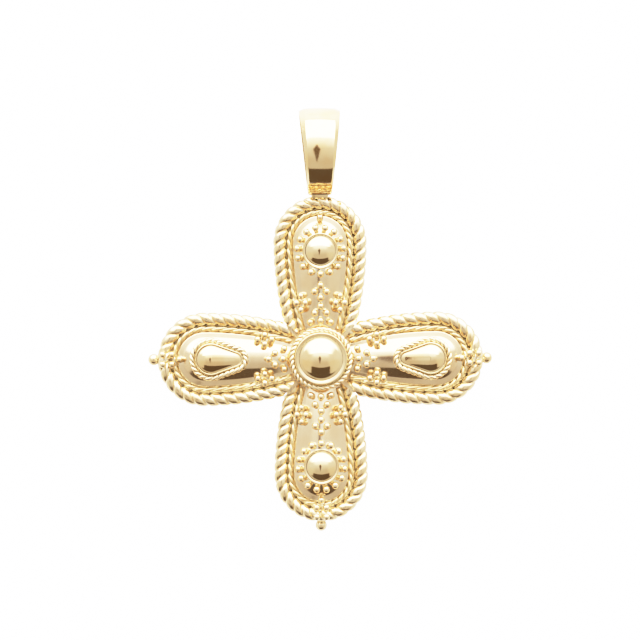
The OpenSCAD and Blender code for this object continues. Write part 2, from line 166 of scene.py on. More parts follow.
def goldSurfaceGroup():
    tree = bpy.data.node_groups.new("goldSurface", "ShaderNodeTree")
    for name, kind, value in (
        ("Pale", "NodeSocketColor", (0.95, 0.68, 0.36, 1)),
        ("Deep", "NodeSocketColor", (0.90, 0.58, 0.27, 1)),
        ("Smooth", "NodeSocketFloat", 0.1),
        ("Rough", "NodeSocketFloat", 0.2),
        ("Wave size", "NodeSocketFloat", 900.0),
        ("Wave depth", "NodeSocketFloat", 0.5),
        ("Grain depth", "NodeSocketFloat", 0.1),
        ("Line depth", "NodeSocketFloat", 0.05),
        ("Crevice painted light", "NodeSocketColor", (0.97, 0.85, 0.62, 1)),
        ("Painted light reach", "NodeSocketFloat", 0.0006),
    ):
        tree.interface.new_socket(name, in_out="INPUT", socket_type=kind).default_value = value
    tree.interface.new_socket("Color", in_out="OUTPUT", socket_type="NodeSocketColor")
    tree.interface.new_socket("Roughness", in_out="OUTPUT", socket_type="NodeSocketFloat")
    tree.interface.new_socket("Height", in_out="OUTPUT", socket_type="NodeSocketFloat")
    ins = tree.nodes.new("NodeGroupInput").outputs
    outs = tree.nodes.new("NodeGroupOutput").inputs
    place = tree.nodes.new("ShaderNodeTexCoord").outputs["Object"]

    def noise(scale, detail, vector=place):
        node = tree.nodes.new("ShaderNodeTexNoise")
        node.inputs["Detail"].default_value = detail
        wire(tree, scale, node.inputs["Scale"])
        wire(tree, vector, node.inputs["Vector"])
        return node.outputs["Fac"]

    waves = noise(ins["Wave size"], 1.0)
    tone = noise(goldDetail["toneScale"], 2.0)
    grain = noise(goldDetail["grainScale"], 2.0)
    stretched = tree.nodes.new("ShaderNodeMapping")
    stretched.inputs["Rotation"].default_value = goldDetail["lineTurn"]
    stretched.inputs["Scale"].default_value = goldDetail["lineScale"]
    wire(tree, place, stretched.inputs["Vector"])
    lines = noise(1.0, 2.0, stretched.outputs[0])
    lineMask = eased(tree, lines, *goldDetail["lineFrom"])
    metal = blended(tree, eased(tree, tone, *goldDetail["toneFrom"]), ins["Pale"], ins["Deep"])
    # Painted light: where ambient occlusion finds a crevice, the colour turns to the paler crevice colour,
    # lightening the shade that falls there
    shade = tree.nodes.new("ShaderNodeAmbientOcclusion")
    shade.samples = goldDetail["paintedLightSamples"]
    tree.links.new(ins["Painted light reach"], shade.inputs["Distance"])
    unshaded = eased(tree, shade.outputs["AO"], *goldDetail["paintedLightFrom"])
    wire(tree, blended(tree, unshaded, ins["Crevice painted light"], metal), outs["Color"])
    spread = reckon(tree, "SUBTRACT", ins["Rough"], ins["Smooth"])
    toneShare = eased(tree, tone, *goldDetail["roughFrom"])
    share = reckon(tree, "MULTIPLY", toneShare, goldDetail["roughTone"])
    share = reckon(tree, "ADD", share, reckon(tree, "MULTIPLY", lineMask, goldDetail["roughLine"]))
    wire(tree, reckon(tree, "MULTIPLY_ADD", spread, share, ins["Smooth"]), outs["Roughness"])
    height = reckon(tree, "MULTIPLY", waves, ins["Wave depth"])
    height = reckon(tree, "MULTIPLY_ADD", grain, ins["Grain depth"], height)
    height = reckon(tree, "MULTIPLY_ADD", lineMask, ins["Line depth"], height)
    wire(tree, height, outs["Height"])
    return tree


goldSurface = goldSurfaceGroup()

petalTint = {"Pale": (0.87, 0.66, 0.405, 1), "Deep": (0.83, 0.60, 0.35, 1)}
twistTint = {"Pale": (0.95, 0.735, 0.45, 1), "Deep": (0.92, 0.665, 0.36, 1)}
wireTint = {"Pale": (0.93, 0.69, 0.36, 1), "Deep": (0.90, 0.62, 0.29, 1)}
plainTint = {"Pale": (0.94, 0.71, 0.40, 1), "Deep": (0.91, 0.63, 0.32, 1)}
finishInputs = ("Smooth", "Rough", "Wave size", "Wave depth", "Grain depth", "Line depth")
# For each finish: its slot in the record, its tints, and its value for each of those inputs
goldFinish = {
    "petalGold": ("petal_gold", petalTint, (0.14, 0.19, 500.0, 1.2, 0.1, 0.03)),
    "polishedGold": ("polished_gold", plainTint, (0.07, 0.12, 500.0, 1.2, 0.1, 0.03)),
    "ropeGold": ("rope_gold", twistTint, (0.22, 0.3, 1500.0, 0.8, 0.1, 0.03)),
    "wireGold": ("inner_gold", wireTint, (0.26, 0.36, 2500.0, 0.6, 0.1, 0.03)),
    "granuleGold": ("granule_gold", twistTint, (0.2, 0.28, 2500.0, 0.6, 0.1, 0.02)),
    "backGold": ("back_gold", plainTint, (0.24, 0.36, 500.0, 2.0, 0.2, 0.25)),
}


def goldMaterial(name):
    material = bpy.data.materials.new(name)
    material.use_nodes = True
    tree = material.node_tree
    shader = tree.nodes["Principled BSDF"]
    shader.inputs["Metallic"].default_value = 1.0
    surface = tree.nodes.new("ShaderNodeGroup")
    surface.node_tree = goldSurface
    tints, values = goldFinish[name][1:]
    for key, value in (*tints.items(), *zip(finishInputs, values)):
        surface.inputs[key].default_value = value
    bump = tree.nodes.new("ShaderNodeBump")
    bump.inputs["Distance"].default_value = goldDetail["bumpDistance"]
    tree.links.new(surface.outputs["Height"], bump.inputs["Height"])
    tree.links.new(bump.outputs["Normal"], shader.inputs["Normal"])
    tree.links.new(surface.outputs["Color"], shader.inputs["Base Color"])
    tree.links.new(surface.outputs["Roughness"], shader.inputs["Roughness"])
    return material


gold = {name: goldMaterial(name) for name in goldFinish}
print("gold finishes are ready")


# Meshes from points and faces, and their place on the cross

def finished(name, mesh, node, metal, turn=0, sharpness=40):
    mesh.transform(Matrix.Rotation(math.radians(turn), 4, "Z") @ Matrix.Scale(millimetre, 4))
    mesh.name = name
    if not mesh.materials:
        mesh.materials.append(gold[metal])
    mesh.shade_smooth()
    mesh.set_sharp_from_angle(angle=math.radians(sharpness))
    piece = bpy.data.objects.new(name, mesh)
    scene.collection.objects.link(piece)
    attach(piece, "root")
    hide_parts(node)
    return piece


def shell(points, faces):
    mesh = bpy.data.meshes.new("shell")
    mesh.from_pydata(points, [], faces)
    work = bmesh.new()
    work.from_mesh(mesh)
    bmesh.ops.recalc_face_normals(work, faces=work.faces)
    if work.calc_volume(signed=True) < 0:
        bmesh.ops.reverse_faces(work, faces=work.faces)
    work.to_mesh(mesh)
    work.free()
    return mesh


# Faces between two rows of points, closed on themselves or open
def strip(low, high, closed=True):
    if closed:
        low = low + low[:1]
        high = high + high[:1]
    return [(low[k], low[k + 1], high[k + 1], high[k]) for k in range(len(low) - 1)]


# Corners (x, z, radius) of a section, with each corner turned into a small arc
def softened(corners, steps=6, loop=True):
    points = []
    count = len(corners)
    for i, (x, z, radius) in enumerate(corners):
        if radius == 0 or (not loop and i in (0, count - 1)):
            points.append((x, z))
            continue
        here = Vector((x, z))
        before = Vector(corners[i - 1][:2]) - here
        after = Vector(corners[(i + 1) % count][:2]) - here
        half = before.angle(after) / 2
        reach = radius / math.tan(half)
        middle = here + (before.normalized() + after.normalized()).normalized() * (radius / math.sin(half))
        first = here + before.normalized() * reach - middle
        swing = math.pi - 2 * half
        side = 1 if before.x * after.y - before.y * after.x < 0 else -1
        for k in range(steps + 1):
            spoke = Matrix.Rotation(side * swing * k / steps, 2) @ first
            points.append(tuple(middle + spoke))
    return points


# Turns a section (radius, height) round an upright axis on the arm's line
def lathe(section, y=0.0, segments=128):
    points = []
    faces = []
    rows = []
    for radius, z in section:
        if radius < 1e-6:
            rows.append([len(points)])
            points.append((0, y, z))
            continue
        rows.append([len(points) + k for k in range(segments)])
        for k in range(segments):
            across, along, turn = arcAt(0, y, radius, 2 * math.pi * k / segments)
            points.append((across, along, z))
    pairs = list(zip(rows, rows[1:]))
    if len(rows[0]) > 1:
        pairs.append((rows[-1], rows[0]))
    for low, high in pairs:
        if len(low) == 1:
            faces += [(low[0], a, b) for a, b in zip(high, high[1:] + high[:1])]
        elif len(high) == 1:
            faces += [(a, b, high[0]) for a, b in zip(low, low[1:] + low[:1])]
        else:
            faces += strip(low, high)
    return shell(points, faces)


# Points of a pile of equal rings, the numbers of each ring's points, and the faces between
def stacked(rings):
    points = [point for ring in rings for point in ring]
    count = len(rings[0])
    rows = [list(range(i * count, (i + 1) * count)) for i in range(len(rings))]
    faces = []
    for low, high in zip(rows, rows[1:]):
        faces += strip(low, high)
    return points, rows, faces


# Grid of rings, each closed on itself; the rings close into a loop or are capped
def hoop(rings, loop=True):
    points, rows, faces = stacked(rings)
    if loop:
        faces += strip(rows[-1], rows[0])
    else:
        faces += [tuple(rows[0]), tuple(rows[-1])]
    return shell(points, faces)


# Geometry Nodes: shared sockets and the end of a tree

def treeWithSockets(name, sockets):
    tree = bpy.data.node_groups.new(name, "GeometryNodeTree")
    tree.interface.new_socket("Geometry", in_out="INPUT", socket_type="NodeSocketGeometry")
    for label, kind in sockets:
        tree.interface.new_socket(label, in_out="INPUT", socket_type=kind)
    tree.interface.new_socket("Geometry", in_out="OUTPUT", socket_type="NodeSocketGeometry")
    return tree


def readAttribute(tree, name):
    node = tree.nodes.new("GeometryNodeInputNamedAttribute")
    node.data_type = "FLOAT"
    node.inputs["Name"].default_value = name
    return node.outputs["Attribute"]


def closeTree(tree, geometry, metal):
    whole = tree.nodes.new("GeometryNodeRealizeInstances")
    coat = tree.nodes.new("GeometryNodeSetMaterial")
    end = tree.nodes.new("NodeGroupOutput")
    tree.links.new(geometry, whole.inputs["Geometry"])
    tree.links.new(whole.outputs[0], coat.inputs["Geometry"])
    tree.links.new(metal, coat.inputs["Material"])
    tree.links.new(coat.outputs[0], end.inputs["Geometry"])


# Geometry Nodes: a granule on every point, each a little different

def granuleTree():
    tree = treeWithSockets("granuleField", (
        ("Segments", "NodeSocketInt"),
        ("Rings", "NodeSocketInt"),
        ("Spread", "NodeSocketFloat"),
        ("Seed", "NodeSocketInt"),
        ("Metal", "NodeSocketMaterial"),
    ))
    ins = tree.nodes.new("NodeGroupInput").outputs
    ball = tree.nodes.new("GeometryNodeMeshUVSphere")
    tree.links.new(ins["Segments"], ball.inputs["Segments"])
    tree.links.new(ins["Rings"], ball.inputs["Rings"])
    ball.inputs["Radius"].default_value = 0.5
    chance = tree.nodes.new("FunctionNodeRandomValue")
    chance.data_type = "FLOAT_VECTOR"
    tree.links.new(ins["Seed"], chance.inputs["Seed"])
    chance.inputs[0].default_value = (-1, -1, -1)
    chance.inputs[1].default_value = (1, 1, 1)
    size = reckonVector(tree, "ADD", (1, 1, 1), scaled(tree, chance.outputs[0], ins["Spread"]))
    size = scaled(tree, size, readAttribute(tree, "diameter"))
    field = tree.nodes.new("GeometryNodeInstanceOnPoints")
    tree.links.new(ins["Geometry"], field.inputs["Points"])
    tree.links.new(ball.outputs[0], field.inputs["Instance"])
    tree.links.new(size, field.inputs["Scale"])
    closeTree(tree, field.outputs[0], ins["Metal"])
    return tree


granuleField = granuleTree()


# Runs a tree over some points and keeps what it makes as a plain mesh
def madeBy(tree, points, attributes, inputs):
    base = bpy.data.meshes.new("points")
    base.from_pydata(points, [], [])
    for name, values in attributes.items():
        base.attributes.new(name, "FLOAT", "POINT").data.foreach_set("value", values)
    maker = bpy.data.objects.new("maker", base)
    scene.collection.objects.link(maker)
    modifier = maker.modifiers.new("make", "NODES")
    modifier.node_group = tree
    for item in tree.interface.items_tree:
        if item.in_out == "INPUT" and item.name in inputs:
            modifier[item.identifier] = inputs[item.name]
    ready = maker.evaluated_get(bpy.context.evaluated_depsgraph_get())
    mesh = bpy.data.meshes.new_from_object(ready)
    for layer in [layer for layer in mesh.attributes if layer.name in attributes]:
        mesh.attributes.remove(layer)
    bpy.data.objects.remove(maker)
    bpy.data.meshes.remove(base)
    return mesh


leastGirth = 0.3  # share of its girth that a wire keeps at its very end


# Twisted wire along points (x, y, z, heading), turned by so many turns at each: full strands
# with narrow grooves between them
def twistedMesh(path, twists, sizes, loop):
    sides = sizes["sides"]
    run = [0.0]
    for a, b in zip(path, path[1:]):
        run.append(run[-1] + math.dist(a[:3], b[:3]))
    rings = []
    for i, (x, y, z, heading) in enumerate(path):
        twist = 2 * math.pi * twists[i]
        girth = sizes["diameter"] / 2
        if not loop:
            away = min(run[i], run[-1] - run[i]) / sizes["endRound"]
            girth *= max(leastGirth, math.sqrt(1 - (1 - min(away, 1)) ** 2))
        ring = []
        for k in range(sides):
            own = 2 * math.pi * k / sides
            fromGroove = abs(math.sin(sizes["strands"] * own / 2))
            radius = girth * (1 - sizes["groove"] * (1 - fromGroove) ** sizes["narrow"])
            out = radius * math.cos(own + twist)
            ring.append((x + out * math.cos(heading), y + out * math.sin(heading),
                         z + radius * math.sin(own + twist)))
        rings.append(ring)
    return hoop(rings, loop)


# Points along an arm's border, about a step apart
def borderPath(inset, start, z, step):
    runEnd = borderRun(inset, start)
    steps = round(runEnd / step)
    path = []
    for i in range(steps + 1):
        x, y, heading = borderAt(inset, start, runEnd * i / steps)
        path.append((x, y, z, heading))
    return path


# Thick rope along each arm's edge

rope = {
    "diameter": 1.62,
    "seat": 1.6,
    "strands": 2,
    "groove": 0.27,
    "narrow": 1.7,
    "endRound": 0.3,
    "lay": {"top": 2.47, "left": 2.67, "bottom": 2.47, "right": 2.67},
    "start": 3.7,
    "spare": 1.6,
    "cut": 38.0,
    "step": 0.085,
    "sides": 44,
    "phase": {"top": 0.26, "left": 0.02, "bottom": 0.26, "right": 0.02},
}
ropeZ = seatZ + rope["seat"] / 2


# Turns of the rope at a heading, counted from the middle of the arm's end
def ropeTurns(arm, heading):
    sideRadius = cross["armSideRadius"] - rope["seat"] / 2
    endRadius = cross["armEndRadius"] - rope["seat"] / 2
    beyond = max(0, abs(heading - math.pi / 2) - math.pi / 2)
    away = math.copysign(beyond * sideRadius, heading - math.pi / 2)
    onEnd = min(math.pi, max(0, heading)) - math.pi / 2
    return rope["phase"][arm] - (away + onEnd * endRadius) / rope["lay"][arm]


# Removes what lies behind a plane and closes the cut
def trimmed(mesh, point, direction):
    work = bmesh.new()
    work.from_mesh(mesh)
    whole = work.verts[:] + work.edges[:] + work.faces[:]
    cut = bmesh.ops.bisect_plane(work, geom=whole, plane_co=point, plane_no=direction, clear_inner=True)
    rim = [part for part in cut["geom_cut"] if isinstance(part, bmesh.types.BMEdge)]
    bmesh.ops.holes_fill(work, edges=rim)
    work.to_mesh(mesh)
    work.free()


# The rope runs on past its mitre and is trimmed there, so that its strands keep their lay
def ropeMesh(arm):
    inset = rope["seat"] / 2
    path = borderPath(inset, rope["start"] - rope["spare"], ropeZ, rope["step"])
    twists = [ropeTurns(arm, heading) for x, y, z, heading in path]
    mesh = twistedMesh(path, twists, rope, False)
    mitre = math.radians(rope["cut"])
    for side in (-1, 1):
        corner = (side * borderWidth(inset, rope["start"]), rope["start"], 0)
        trimmed(mesh, corner, (-side * math.sin(mitre), math.cos(mitre), 0))
    return mesh


for arm, turn in armTurn.items():
    finished(arm + "Rope", ropeMesh(arm), arm + "_rope", "ropeGold", turn)
print("ropes are laid")


# Thin wire inside each rope, twisted the other way, with its grooves meeting the rope's

innerWire = {
    "diameter": 0.7,
    "inset": 1.98,
    "centreZ": 1.71,
    "strands": 2,
    "groove": 0.36,
    "narrow": 1.4,
    "endRound": 0.15,
    "start": 3.45,
    "sides": 24,
    "step": 0.085,
    "phase": 0.0,
}


def innerWireMesh(arm):
    path = borderPath(innerWire["inset"], innerWire["start"], innerWire["centreZ"], innerWire["step"])
    twists = [innerWire["phase"] - ropeTurns(arm, heading) for x, y, z, heading in path]
    return twistedMesh(path, twists, innerWire, False)


for arm, turn in armTurn.items():
    finished(arm + "InnerWire", innerWireMesh(arm), arm + "_inner_wire", "wireGold", turn)
print("inner wires are laid")


# Domed petals: a dome with straight flanks on a level brim, cut round at the collar

petal = {
    "inset": 2.3,
    "brimZ": 1.5,
    "brimWidth": 0.42,
    "rise": 1.48,
    "neckAt": 6.0,
    "collarRadius": 3.58,
    "ridgeRadius": 3.0,
    "flank": 30.0,
    "footRadius": 0.86,
    "footAt": 2.45,
    "brimTilt": 12.0,
    "edge": 0.25,
    "edgeLean": 0.005,
    "steps": {"ridge": 12, "flank": 8, "foot": 6, "brim": 4, "edge": 7},
    "barrelRows": 72,
    "ballRows": 40,
}
petalEndWidth = cross["armEndRadius"] - petal["inset"]
domeEndWidth = petalEndWidth - petal["brimWidth"]
petalBall = (domeEndWidth ** 2 + petal["rise"] ** 2) / (2 * petal["rise"])
petalAxisZ = petal["brimZ"] + petal["rise"] - petalBall
domeNeckWidth = borderWidth(petal["inset"], petal["neckAt"]) * domeEndWidth / petalEndWidth
petalNeckGirth = math.hypot(domeNeckWidth, petal["brimZ"] - petalAxisZ)
petalFall = petalBall - petalNeckGirth
petalRun = armEndAt - petal["neckAt"]
petalBarrel = (petalRun ** 2 + petalFall ** 2) / (2 * petalFall)


def petalGirth(along, grown=0.0):
    if along < armEndAt:
        barrel = (petalBarrel + grown) ** 2 - (armEndAt - along) ** 2
        return petalBall - petalBarrel + math.sqrt(barrel)
    return math.sqrt(max(0, (petalBall + grown) ** 2 - (along - armEndAt) ** 2))


def onPetal(across, along, radius):
    onDome = petalAxisZ + math.sqrt(max(0, petalGirth(along, radius + gap) ** 2 - across ** 2))
    return max(petal["brimZ"] + gap + radius, onDome)


# Half section at the round end as (share of the half width, share of the height over the edge's
# foot), and that height
def petalHalfSection():
    flank = math.radians(petal["flank"])
    tilt = math.radians(petal["brimTilt"])
    steps = petal["steps"]
    ridge = petal["ridgeRadius"]
    foot = petal["footRadius"]
    edge = petal["edge"]
    points = []

    def slopeTo(reach, angle, count):
        x, z = points[-1]
        for i in range(1, count + 1):
            run = (reach - x) * i / count
            points.append((x + run, z - run * math.tan(angle)))

    for i in range(steps["ridge"] + 1):
        turn = flank * i / steps["ridge"]
        points.append((ridge * math.sin(turn), -ridge * (1 - math.cos(turn))))
    slopeTo(petal["footAt"], flank, steps["flank"])
    x, z = points[-1]
    for i in range(1, steps["foot"] + 1):
        turn = flank + (tilt - flank) * i / steps["foot"]
        points.append((x + foot * (math.sin(flank) - math.sin(turn)),
                       z - foot * (math.cos(turn) - math.cos(flank))))
    slopeTo(petalEndWidth - edge, tilt, steps["brim"])
    x, z = points[-1]
    for i in range(1, steps["edge"] + 1):
        turn = math.radians(90 * i / steps["edge"])
        points.append((x + edge * math.sin(turn), z - edge * (1 - math.cos(turn)) - petal["edgeLean"] * i))
    low = points[-1][1]
    height = points[0][1] - low
    return [(x / petalEndWidth, (z - low) / height) for x, z in points], height


petalHalf, petalHeight = petalHalfSection()
petalWhole = [(-share, part) for share, part in petalHalf[:0:-1]] + petalHalf
petalFootZ = petal["brimZ"] + petal["rise"] - petalHeight


# Where a line along the barrel leaves the round cut at the collar
def petalStart(share):
    cut = petal["collarRadius"] + gap
    along = cut
    for attempt in range(settling):
        along = math.sqrt(cut ** 2 - (borderWidth(petal["inset"], along) * share) ** 2)
    return along


def barrelPoint(along, share, part):
    top = petalAxisZ + petalGirth(along) - petalFootZ
    return borderWidth(petal["inset"], along) * share, along, petalFootZ + top * part


# The round end is turned about its own centre, on the ridge
def roundEndPoint(turn, share, part):
    x, y, heading = arcAt(0, armEndAt, petalEndWidth * share, turn)
    return x, y, petalFootZ + petalHeight * part


def petalMesh():
    points = []

    def row(spots):
        points.extend(spots)
        return list(range(len(points) - len(spots), len(points)))

    starts = [petalStart(share) for share, part in petalWhole]
    barrel = []
    for i in range(petal["barrelRows"]):
        alongs = [start + (armEndAt - start) * i / petal["barrelRows"] for start in starts]
        barrel.append(row([barrelPoint(along, *spot) for along, spot in zip(alongs, petalWhole)]))
    ridge = row([barrelPoint(armEndAt, *petalHalf[0])])
    fan = []
    for i in range(petal["ballRows"] + 1):
        turn = math.pi * i / petal["ballRows"]
        fan.append(ridge + row([roundEndPoint(turn, *spot) for spot in petalHalf[1:]]))
    faces = []
    for low, high in zip(barrel, barrel[1:]):
        faces += strip(low, high, False)
    for low, high in zip(fan, fan[1:]):
        faces.append((ridge[0], low[1], high[1]))
        faces += strip(low[1:], high[1:], False)
    faces += strip(barrel[-1], fan[-1][:0:-1] + fan[0], False)
    rim = [line[0] for line in barrel] + [line[-1] for line in fan[::-1]]
    rim += [line[-1] for line in barrel[:0:-1]] + barrel[0][:0:-1]
    foot = row([(points[index][0], points[index][1], seatZ) for index in rim])
    faces += strip(rim, foot)
    faces.append(tuple(foot))
    return shell(points, faces)


for arm, turn in armTurn.items():
    finished(arm + "Petal", petalMesh(), arm + "_petal", "petalGold", turn)
print("petals are domed")


# Back plate: one flat sheet under all four arms, with a soft edge

backPlate = {
    "inset": 0.3,
    "edge": 0.14,
    "edgeSteps": 4,
    "pointsPerArm": 160,
}


def backPlateMesh():
    inset = backPlate["inset"]
    start = 4.0
    for attempt in range(settling):
        start = borderWidth(inset, start)
    runEnd = borderRun(inset, start)
    outline = []
    for turn in (0, 90, 180, 270):
        swing = Matrix.Rotation(math.radians(turn), 2)
        for i in range(backPlate["pointsPerArm"]):
            x, y, heading = borderAt(inset, start, runEnd * i / backPlate["pointsPerArm"])
            outline.append((swing @ Vector((x, y)), swing @ Vector((math.cos(heading), math.sin(heading)))))
    rings = []
    edge = backPlate["edge"]
    thickness = cross["backThickness"]
    levels = []
    for k in range(backPlate["edgeSteps"] + 1):
        turn = math.pi / 2 * k / backPlate["edgeSteps"]
        levels.append((edge * (1 - math.sin(turn)), edge * (1 - math.cos(turn))))
    levels += [(drawn, thickness - z) for drawn, z in reversed(levels)]
    for drawn, z in levels:
        rings.append([(p.x - n.x * drawn, p.y - n.y * drawn, z) for p, n in outline])
    return hoop(rings, loop=False)


finished("backPlate", backPlateMesh(), "back_plate", "backGold")
print("back plate is cut")


# Centre: collar and band in one, a round boss in its well, and a twisted ring round the band

centre = {
    "collarRadius": 3.58,
    "bandRadius": 3.17,
    "bandHeight": 1.1,
    "bossRadius": 2.6,
    "bossSteepness": 0.415,
    "bossFlareAt": 2.02,
    "lipIn": 0.19,
    "lipFall": 0.11,
}
collarZ = ropeZ + rope["seat"] / 2

centreRing = {
    "diameter": 0.66,
    "turns": 18,
    "strands": 2,
    "groove": 0.36,
    "narrow": 1.3,
    "sides": 24,
    "pointsPerTurn": 20,
    "phase": 0.0,
}


bossFlare = 0.85  # share of the slope that a boss loses in its flared foot


# Half section of a boss, a dome whose slope grows evenly and flares out at its rim
def domeSection(radius, steepness, flareAt, lowZ, rimZ, rows=56):
    slopes = []
    for i in range(rows + 1):
        r = radius * i / rows
        back = max(0, r - flareAt) / (radius - flareAt)
        slopes.append(steepness * min(r, flareAt) * (1 - back * back * (3 - 2 * back) * bossFlare))
    heights = [0.0]
    for i in range(rows, 0, -1):
        heights.append(heights[-1] + (slopes[i] + slopes[i - 1]) / 2 * radius / rows)
    section = [(0, lowZ), (radius, lowZ)]
    for i in range(rows + 1):
        section.append((radius * (rows - i) / rows, rimZ + heights[i]))
    return section


bandZ = collarZ + centre["bandHeight"]
centreSection = softened([
    (0, seatZ, 0),
    (centre["collarRadius"], seatZ, 0.05),
    (centre["collarRadius"], collarZ, 0.3),
    (centre["bandRadius"], collarZ, 0.04),
    (centre["bandRadius"], bandZ - 0.02, 0.12),
    (centre["bandRadius"] - centre["lipIn"], bandZ, 0.2),
    (centre["bossRadius"] + gap, bandZ - centre["lipFall"], 0.04),
    (centre["bossRadius"] + gap, collarZ + gap, 0.02),
    (0, collarZ + gap, 0),
], loop=False)
finished("centreBezel", lathe(centreSection, segments=160), "centre_bezel", "polishedGold")
centreBoss = domeSection(centre["bossRadius"], centre["bossSteepness"], centre["bossFlareAt"],
                         collarZ + 2 * gap, bandZ - 2 * gap)
finished("centreBoss", lathe(centreBoss, segments=160), "centre_boss", "polishedGold")

ringCount = centreRing["turns"] * centreRing["pointsPerTurn"]
ringRadius = centre["bandRadius"] + gap + centreRing["diameter"] / 2
ringZ = collarZ + gap + centreRing["diameter"] / 2
ringPath = []
for i in range(ringCount):
    x, y, heading = arcAt(0, 0, ringRadius, 2 * math.pi * i / ringCount)
    ringPath.append((x, y, ringZ, heading))
ringTwists = [centreRing["phase"] - i / centreRing["pointsPerTurn"] for i in range(ringCount)]
ringMesh = twistedMesh(ringPath, ringTwists, centreRing, True)
finished("centreWire", ringMesh, "centre_wire", "ropeGold")
print("centre boss is set")


# Round bosses on the top and bottom arms

roundBoss = {
    "at": 12.96,
    "radius": 1.8,
    "steepness": 0.47,
    "flareAt": 1.46,
    "bandRadius": 2.15,
    "bandZ": 3.25,
    "seatZ": 2.06,
    "lipIn": 0.11,
    "lipFall": 0.07,
}
beadRing = {"radius": 2.8, "count": 15}


for arm in ("top", "bottom"):
    turn = armTurn[arm]
    low = roundBoss["seatZ"] + gap
    inner = roundBoss["radius"] + gap
    band = softened([
        (inner, low, 0.03),
        (roundBoss["bandRadius"], low, 0.03),
        (roundBoss["bandRadius"], roundBoss["bandZ"] - 0.02, 0.08),
        (roundBoss["bandRadius"] - roundBoss["lipIn"], roundBoss["bandZ"], 0.1),
        (inner, roundBoss["bandZ"] - roundBoss["lipFall"], 0.03),
    ])
    finished(arm + "Bezel", lathe(band, y=roundBoss["at"]), arm + "_bezel", "polishedGold", turn)
    dome = domeSection(roundBoss["radius"], roundBoss["steepness"], roundBoss["flareAt"], low,
                       roundBoss["bandZ"] - gap)
    finished(arm + "Boss", lathe(dome, y=roundBoss["at"]), arm + "_boss", "polishedGold", turn)
print("round bosses are set")


# Teardrop bosses on the side arms

tear = {
    "at": 13.2,
    "radius": 1.68,
    "tipAt": 10.3,
    "tipRadius": 0.7,
    "bandThickness": 0.23,
    "bandZ": 3.15,
    "seatZ": 2.22,
    "steepness": 0.57,
    "flareAt": 1.32,
    "narrowing": 1.8,
    "steps": (44, 20, 12),
}
tearSlope = math.asin((tear["radius"] - tear["tipRadius"]) / (tear["at"] - tear["tipAt"]))
tearRing = {
    "diameter": 0.66,
    "turns": 13,
    "strands": 2,
    "groove": 0.36,
    "narrow": 1.3,
    "sides": 24,
    "pointsPerTurn": 20,
    "phase": {"left": 0.0, "right": 0.0},
    "hand": {"left": 1, "right": -1},
}


# Lengths of the outline's round part, side and tip on one half, grown by an offset
def tearRuns(grown):
    return (
        (tear["radius"] + grown) * (math.pi / 2 + tearSlope),
        (tear["at"] - tear["tipAt"]) * math.cos(tearSlope),
        (tear["tipRadius"] + grown) * (math.pi / 2 - tearSlope),
    )


# Right half of the outline grown by an offset, from the outer end down to the tip
def tearHalfAt(grown, run):
    roundRun, sideRun = tearRuns(grown)[:2]
    if run < roundRun:
        return arcAt(0, tear["at"], tear["radius"] + grown, math.pi / 2 - run / (tear["radius"] + grown))
    if run < roundRun + sideRun:
        x, y, heading = arcAt(0, tear["at"], tear["radius"] + grown, -tearSlope)
        down = run - roundRun
        return x - down * math.sin(tearSlope), y - down * math.cos(tearSlope), heading
    swing = (run - roundRun - sideRun) / (tear["tipRadius"] + grown)
    return arcAt(0, tear["tipAt"], tear["tipRadius"] + grown, -tearSlope - swing)


def tearOutlineAt(grown, run):
    half = sum(tearRuns(grown))
    if run <= half:
        x, y, heading = tearHalfAt(grown, run)
        return -x, y, math.pi - heading
    return tearHalfAt(grown, 2 * half - run)


# Whole outline, down the right half and back up the left, closer together round the tip
def tearOutlinePoints():
    runs = []
    done = 0.0
    for length, steps in zip(tearRuns(0), tear["steps"]):
        runs += [done + length * i / steps for i in range(steps)]
        done += length
    half = [tearHalfAt(0, run) for run in runs + [done]]
    return half + [(-x, y, math.pi - heading) for x, y, heading in half[-2:0:-1]]


# Every point of the outline climbs to the spine straight behind it, steeper where it is wide
def tearBossMesh():
    outline = tearOutlinePoints()
    profile = domeSection(tear["radius"], tear["steepness"], tear["flareAt"], 0, 0)[2:]
    rings = []
    for radius, rise in profile[:-1]:
        share = radius / tear["radius"]
        ring = []
        for x, y, heading in outline:
            spineY = tear["at"] if y > tear["at"] else tear["tipAt"]
            if abs(x) > 1e-6:
                spineY = min(tear["at"], max(tear["tipAt"], y - x * math.tan(heading)))
            wide = math.hypot(x, y - spineY) / tear["radius"]
            height = rise * wide ** tear["narrowing"]
            ring.append((x * share, spineY + (y - spineY) * share, tear["bandZ"] - gap + height))
        rings.append(ring)
    low = [(x, y, tear["seatZ"] + gap) for x, y, heading in outline]
    points, rows, faces = stacked([low] + rings)
    top = rows[-1]
    middle = len(top) // 2
    faces.append(tuple(rows[0]))
    faces.append((top[0], top[1], top[-1]))
    faces.append((top[middle - 1], top[middle], top[middle + 1]))
    for j in range(1, middle - 1):
        faces.append((top[j], top[j + 1], top[-j - 1], top[-j]))
    return shell(points, faces)


def tearBezelMesh():
    outer = tear["bandThickness"] + gap
    section = softened([
        (gap, tear["seatZ"] + gap, 0.03),
        (outer, tear["seatZ"] + gap, 0.03),
        (outer, tear["bandZ"] - 0.03, 0.11),
        (gap, tear["bandZ"], 0.09),
    ])
    rings = []
    for x, y, heading in tearOutlinePoints():
        sideX = math.cos(heading)
        sideY = math.sin(heading)
        rings.append([(x + sideX * grown, y + sideY * grown, z) for grown, z in section])
    return hoop(rings)


